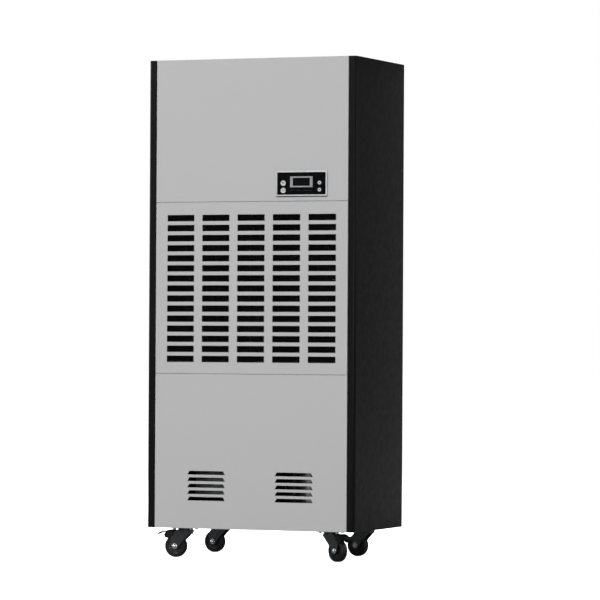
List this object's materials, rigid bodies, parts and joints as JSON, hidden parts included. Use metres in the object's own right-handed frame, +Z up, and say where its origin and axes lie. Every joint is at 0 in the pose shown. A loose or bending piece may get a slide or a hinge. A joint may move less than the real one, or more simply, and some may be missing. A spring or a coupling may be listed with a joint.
{
  "type": "commercial dehumidifier",
  "caption": "Tall wheeled cabinet dehumidifier with a slotted intake panel and filter, front controller, refrigerant circuit, blower, top outlet and locking swivel casters.",
  "frame": {"origin": "on the floor, at the centre of the machine's footprint, spigot included", "axes": "+X right as seen from the front, front towards -Y, +Z up"},
  "size_m": [0.74, 0.475, 1.65],
  "materials": {
    "black_coat": "satin black powder coat",
    "grey_coat": "fine matt light grey powder coat",
    "galvanised": "galvanised sheet steel",
    "fasteners": "bright zinc plate",
    "black_plastic": "moulded black plastic",
    "mesh": "woven black nylon mesh",
    "silver_plastic": "silver-painted plastic",
    "display": "tinted clear window",
    "board": "green solder mask",
    "button_plastic": "light grey moulded plastic",
    "white_plastic": "white moulded plastic",
    "fin_stock": "bare aluminium fin stock",
    "copper": "bright copper tube",
    "compressor_paint": "gloss black enamel",
    "rubber": "black rubber",
    "impeller_steel": "galvanised sheet steel",
    "caster_plate_coat": "black electrophoretic coat",
    "wheel_rubber": "black tread on a black hub",
    "pedal_plastic": "black moulded nylon"
  },
  "bodies": {
    "cabinet": {"left_side_panel": "black_coat", "right_side_panel": "black_coat", "top_panel": "black_coat", "back_panel": "black_coat", "outlet_grille": "black_coat", "upper_front_panel": "grey_coat", "lower_front_panel": "grey_coat", "base_pan": "galvanised", "cross_rails": "galvanised", "coil_shelf": "galvanised", "fan_deck": "galvanised", "coil_end_plates": "galvanised", "blower_housing": "galvanised", "blower_brackets": "galvanised", "electrical_box": "galvanised", "electrical_box_cover": "galvanised", "back_panel_screws": "fasteners", "compressor_bolts": "fasteners", "caster_bolts": "fasteners", "contactor": "black_plastic", "cable_gland": "black_plastic", "control_face": "black_plastic", "control_bezel": "silver_plastic", "display_frame": "silver_plastic", "display_window": "display", "control_board": "board", "drip_tray": "white_plastic", "drain_spigot": "white_plastic", "evaporator_fins": "fin_stock", "condenser_fins": "fin_stock", "evaporator_tubes": "copper", "condenser_tubes": "copper", "discharge_pipe": "copper", "suction_pipe": "copper", "filter_drier": "copper", "liquid_pipe": "copper", "compressor": "compressor_paint", "accumulator": "compressor_paint", "fan_motor": "compressor_paint", "compressor_grommets": "rubber", "drain_hose": "rubber", "caster_plates": "caster_plate_coat"},
    "grille": {"grille_panel": "grey_coat", "filter_frame": "black_plastic", "filter_mesh": "mesh"},
    "fan_wheel": {"impeller": "impeller_steel"},
    "button_power_body": {"button_power": "button_plastic"},
    "button_mode_body": {"button_mode": "button_plastic"},
    "button_up_body": {"button_up": "button_plastic"},
    "button_down_body": {"button_down": "button_plastic"},
    "swivel_front_left": {"fork_front_left": "caster_plate_coat"},
    "roller_front_left": {"wheel_front_left": "wheel_rubber"},
    "pedal_front_left": {"brake_pedal_front_left": "pedal_plastic"},
    "swivel_front_right": {"fork_front_right": "caster_plate_coat"},
    "roller_front_right": {"wheel_front_right": "wheel_rubber"},
    "pedal_front_right": {"brake_pedal_front_right": "pedal_plastic"},
    "swivel_rear_left": {"fork_rear_left": "caster_plate_coat"},
    "roller_rear_left": {"wheel_rear_left": "wheel_rubber"},
    "swivel_rear_right": {"fork_rear_right": "caster_plate_coat"},
    "roller_rear_right": {"wheel_rear_right": "wheel_rubber"}
  },
  "joints": [
    {"name": "grille_lift_off", "type": "slide", "parent": "cabinet", "child": "grille", "axis": [0, -1, 0], "range_m": [0, 0.12]},
    {"name": "fan_spin", "type": "hinge", "parent": "cabinet", "child": "fan_wheel", "pos_m": [0, 0.0025, 1.405], "axis": [1, 0, 0], "continuous": true},
    {"name": "button_power_press", "type": "slide", "parent": "cabinet", "child": "button_power_body", "axis": [0, 1, 0], "range_m": [0, 0.0008], "stiffness_N_per_m": 400},
    {"name": "button_mode_press", "type": "slide", "parent": "cabinet", "child": "button_mode_body", "axis": [0, 1, 0], "range_m": [0, 0.0008], "stiffness_N_per_m": 400},
    {"name": "button_up_press", "type": "slide", "parent": "cabinet", "child": "button_up_body", "axis": [0, 1, 0], "range_m": [0, 0.0008], "stiffness_N_per_m": 400},
    {"name": "button_down_press", "type": "slide", "parent": "cabinet", "child": "button_down_body", "axis": [0, 1, 0], "range_m": [0, 0.0008], "stiffness_N_per_m": 400},
    {"name": "front_left_swivel", "type": "hinge", "parent": "cabinet", "child": "swivel_front_left", "pos_m": [-0.261, -0.1615, 0.09], "axis": [0, 0, 1], "continuous": true},
    {"name": "front_left_roll", "type": "hinge", "parent": "swivel_front_left", "child": "roller_front_left", "pos_m": [-0.2939, -0.16403, 0.037], "axis": [0.0767, -0.9971, 0], "continuous": true},
    {"name": "front_left_brake", "type": "hinge", "parent": "swivel_front_left", "child": "pedal_front_left", "pos_m": [-0.30487, -0.16488, 0.078], "axis": [0.0767, -0.9971, 0], "range_deg": [0, 16]},
    {"name": "front_right_swivel", "type": "hinge", "parent": "cabinet", "child": "swivel_front_right", "pos_m": [0.261, -0.1615, 0.09], "axis": [0, 0, 1], "continuous": true},
    {"name": "front_right_roll", "type": "hinge", "parent": "swivel_front_right", "child": "roller_front_right", "pos_m": [0.2904, -0.17648, 0.037], "axis": [0.454, 0.891, 0], "continuous": true},
    {"name": "front_right_brake", "type": "hinge", "parent": "swivel_front_right", "child": "pedal_front_right", "pos_m": [0.3002, -0.18148, 0.078], "axis": [0.454, 0.891, 0], "range_deg": [0, 16]},
    {"name": "rear_left_swivel", "type": "hinge", "parent": "cabinet", "child": "swivel_rear_left", "pos_m": [-0.261, 0.1525, 0.09], "axis": [0, 0, 1], "continuous": true},
    {"name": "rear_left_roll", "type": "hinge", "parent": "swivel_rear_left", "child": "roller_rear_left", "pos_m": [-0.29368, 0.15709, 0.037], "axis": [-0.1392, -0.9903, 0], "continuous": true},
    {"name": "rear_right_swivel", "type": "hinge", "parent": "cabinet", "child": "swivel_rear_right", "pos_m": [0.261, 0.1525, 0.09], "axis": [0, 0, 1], "continuous": true},
    {"name": "rear_right_roll", "type": "hinge", "parent": "swivel_rear_right", "child": "roller_rear_right", "pos_m": [0.22885, 0.15992, 0.037], "axis": [-0.225, -0.9744, 0], "continuous": true}
  ]
}
